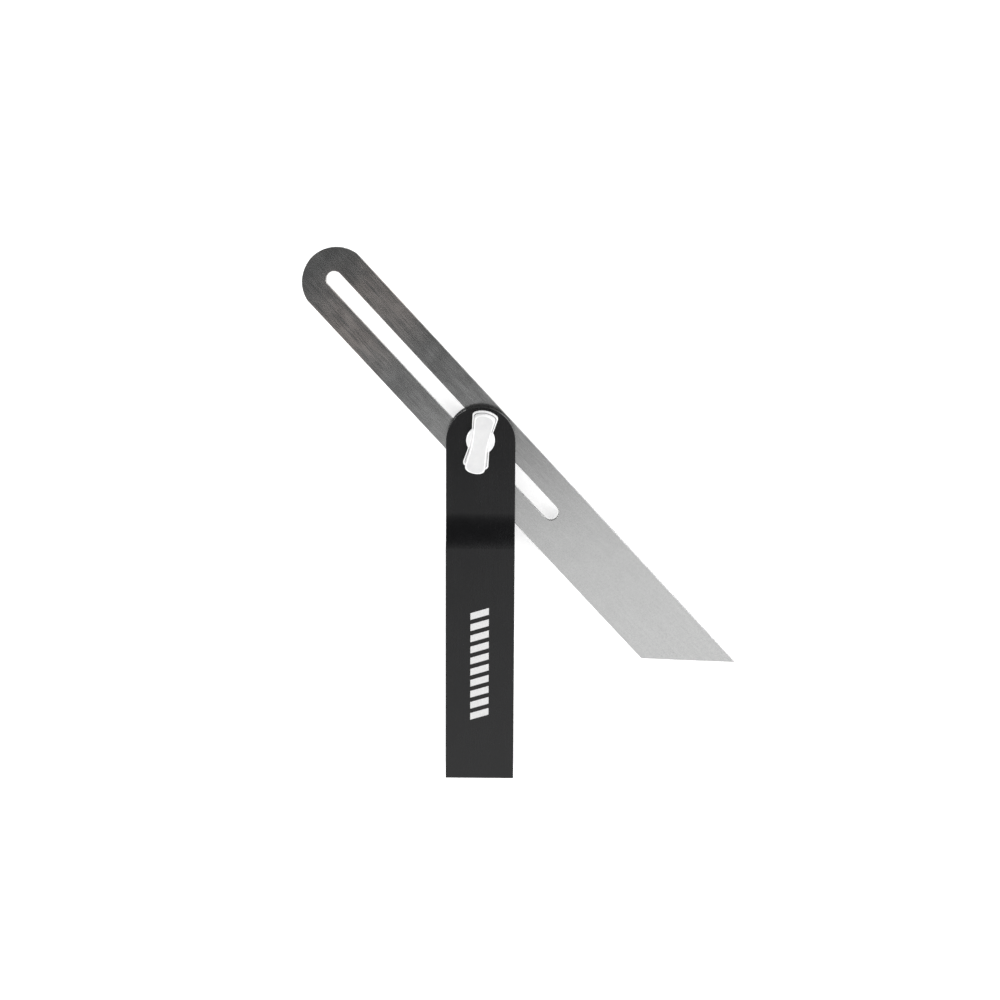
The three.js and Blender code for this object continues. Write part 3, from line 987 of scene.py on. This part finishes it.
def make_mark_tree():
    graph, given = geometry_tree("slanted_bars", MARK_SIZES)
    size = graph.xyz(given["Bar Length"], given["Bar Width"], given["Ink"])
    bar = graph.add("GeometryNodeMeshCube", {"Size": size}).outputs[0]
    place = graph.add("GeometryNodeInputPosition").outputs[0]
    parts = graph.add("ShaderNodeSeparateXYZ", {0: place}).outputs
    shift = graph.xyz(0.0, graph.math("MULTIPLY", parts[0], given["Slant"]), 0.0)
    slanted = graph.add("GeometryNodeSetPosition", {"Geometry": bar, "Offset": shift}).outputs[0]
    line = graph.add("GeometryNodeMeshLine", {
        "Count": given["Count"], "Offset": graph.xyz(0.0, graph.math("MULTIPLY", given["Pitch"], -1.0), 0.0)},
        mode="OFFSET").outputs[0]
    bars = graph.add("GeometryNodeInstanceOnPoints", {"Points": line, "Instance": slanted}).outputs[0]
    finish_tree(graph, given, bars)
    return graph.tree


MARK_START = Vector((-0.1 * MM, -68.6 * MM, GRIP_TOP + INK / 2))
mark = grow("printed_bars", make_mark_tree(), MARK_SIZES, GREY_PRINT)
mark.data.transform(Matrix.Translation(MARK_START))
paint(mark, GREY_PRINT)
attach(mark, "stock")

# %% [markdown]
# ## Floor and light
# The tool lies on a plain pale sheet inside a light tent. The tent is bright all round, and has a soft dark
# hole above where the camera looks in. Flat metal mirrors the hole at the round end of the blade, and the
# bright cloth at its point, so that the steel goes from grey to white along its length.
#
# Sheet and cloth have to look white, but if they really shone that much, pale metal would drown in their
# light. The Light Path node tells a ray that comes straight from the camera from one that has bounced, so
# only the first kind sees the extra white.

# %% The floor
FLOOR_SIZE = 60.0


FLOOR_GLOW = 0.68


def make_floor():
    finish = Finish("pale_floor", Metallic=0.0)
    seen = finish.add("ShaderNodeLightPath").outputs["Is Camera Ray"]
    finish.set("Emission Strength", finish.math("MULTIPLY", seen, FLOOR_GLOW))
    cloud = finish.use(CLOUDS, Size=0.4)
    paper = finish.between(cloud, (0.88, 0.88, 0.88), (0.9, 0.9, 0.9))
    finish.set("Base Color", paper)
    finish.set("Emission Color", paper)
    finish.set("Roughness", finish.between(cloud, 0.8, 0.9))
    floor = block("floor", (-FLOOR_SIZE, -FLOOR_SIZE, -10 * MM), (FLOOR_SIZE, FLOOR_SIZE, -0.02 * MM))
    return paint(floor, finish.material)


floor = make_floor()


# %% The light tent
BRIGHTEST = 2.0
CLOTH = ((0.0, 0.7), (0.6, 0.7), (0.7, BRIGHTEST), (0.86, BRIGHTEST), (0.93, 1.15))  # (height, brightness)
HOLE_BRIGHT = 0.1
SEEN_BRIGHT = 1.0  # the cloth as the camera sees it, past the floor's far edge
HOLE_MIDDLE = Vector((-0.12, 0.29, 1.0)).normalized()
HOLE_INNER, HOLE_OUTER = 24.2, 27.6  # degrees from the middle of the hole to each side of its soft edge


def make_tent():
    world = bpy.data.worlds.new("light_tent")
    world.use_nodes = True
    graph = Graph(world.node_tree)
    direction = graph.add("ShaderNodeTexCoord").outputs["Generated"]
    height = graph.add("ShaderNodeSeparateXYZ", {0: direction}).outputs["Z"]
    bands = graph.add("ShaderNodeValToRGB", {"Fac": height})
    stops = bands.color_ramp.elements
    bands.color_ramp.interpolation = "EASE"
    stops[0].position, stops[1].position = CLOTH[0][0], CLOTH[-1][0]
    for place, _ in CLOTH[1:-1]:
        stops.new(place)
    for stop, (_, value) in zip(stops, CLOTH):
        stop.color = [value / BRIGHTEST] * 3 + [1.0]
    cloth = graph.math("MULTIPLY", bands.outputs["Color"], BRIGHTEST)
    dot = graph.add("ShaderNodeVectorMath", {0: direction, 1: HOLE_MIDDLE}, operation="DOT_PRODUCT")
    bright = graph.add("ShaderNodeMapRange", {
        "Value": dot.outputs["Value"],
        "From Min": math.cos(math.radians(HOLE_OUTER)),
        "From Max": math.cos(math.radians(HOLE_INNER)),
        "To Min": cloth,
        "To Max": HOLE_BRIGHT}, interpolation_type="SMOOTHSTEP").outputs[0]
    seen = graph.add("ShaderNodeLightPath").outputs["Is Camera Ray"]
    choice = {"Value": seen, "To Min": bright, "To Max": SEEN_BRIGHT}
    strength = graph.add("ShaderNodeMapRange", choice).outputs[0]
    background = world.node_tree.nodes["Background"]
    background.inputs["Color"].default_value = (1, 1, 1, 1)
    world.node_tree.links.new(strength, background.inputs["Strength"])
    bpy.context.scene.world = world


make_tent()


# %% Two lamps for the rims
def soft_light(name, place, target, size, power):
    data = bpy.data.lights.new(name, "AREA")
    data.shape = "RECTANGLE"
    data.size, data.size_y = size
    data.energy = power
    lamp = bpy.data.objects.new(name, data)
    lamp.location = place
    lamp.rotation_euler = (Vector(target) - Vector(place)).to_track_quat("-Z", "Y").to_euler()
    lamp.visible_camera = False
    bpy.context.scene.collection.objects.link(lamp)
    return lamp


soft_light("right_lamp", (1.0, 0.36, 0.42), (0, 0, 0), (0.45, 0.4), 4.5)
soft_light("left_lamp", (-1.05, 0.38, 0.42), (0, 0, 0), (0.45, 0.4), 4.5)
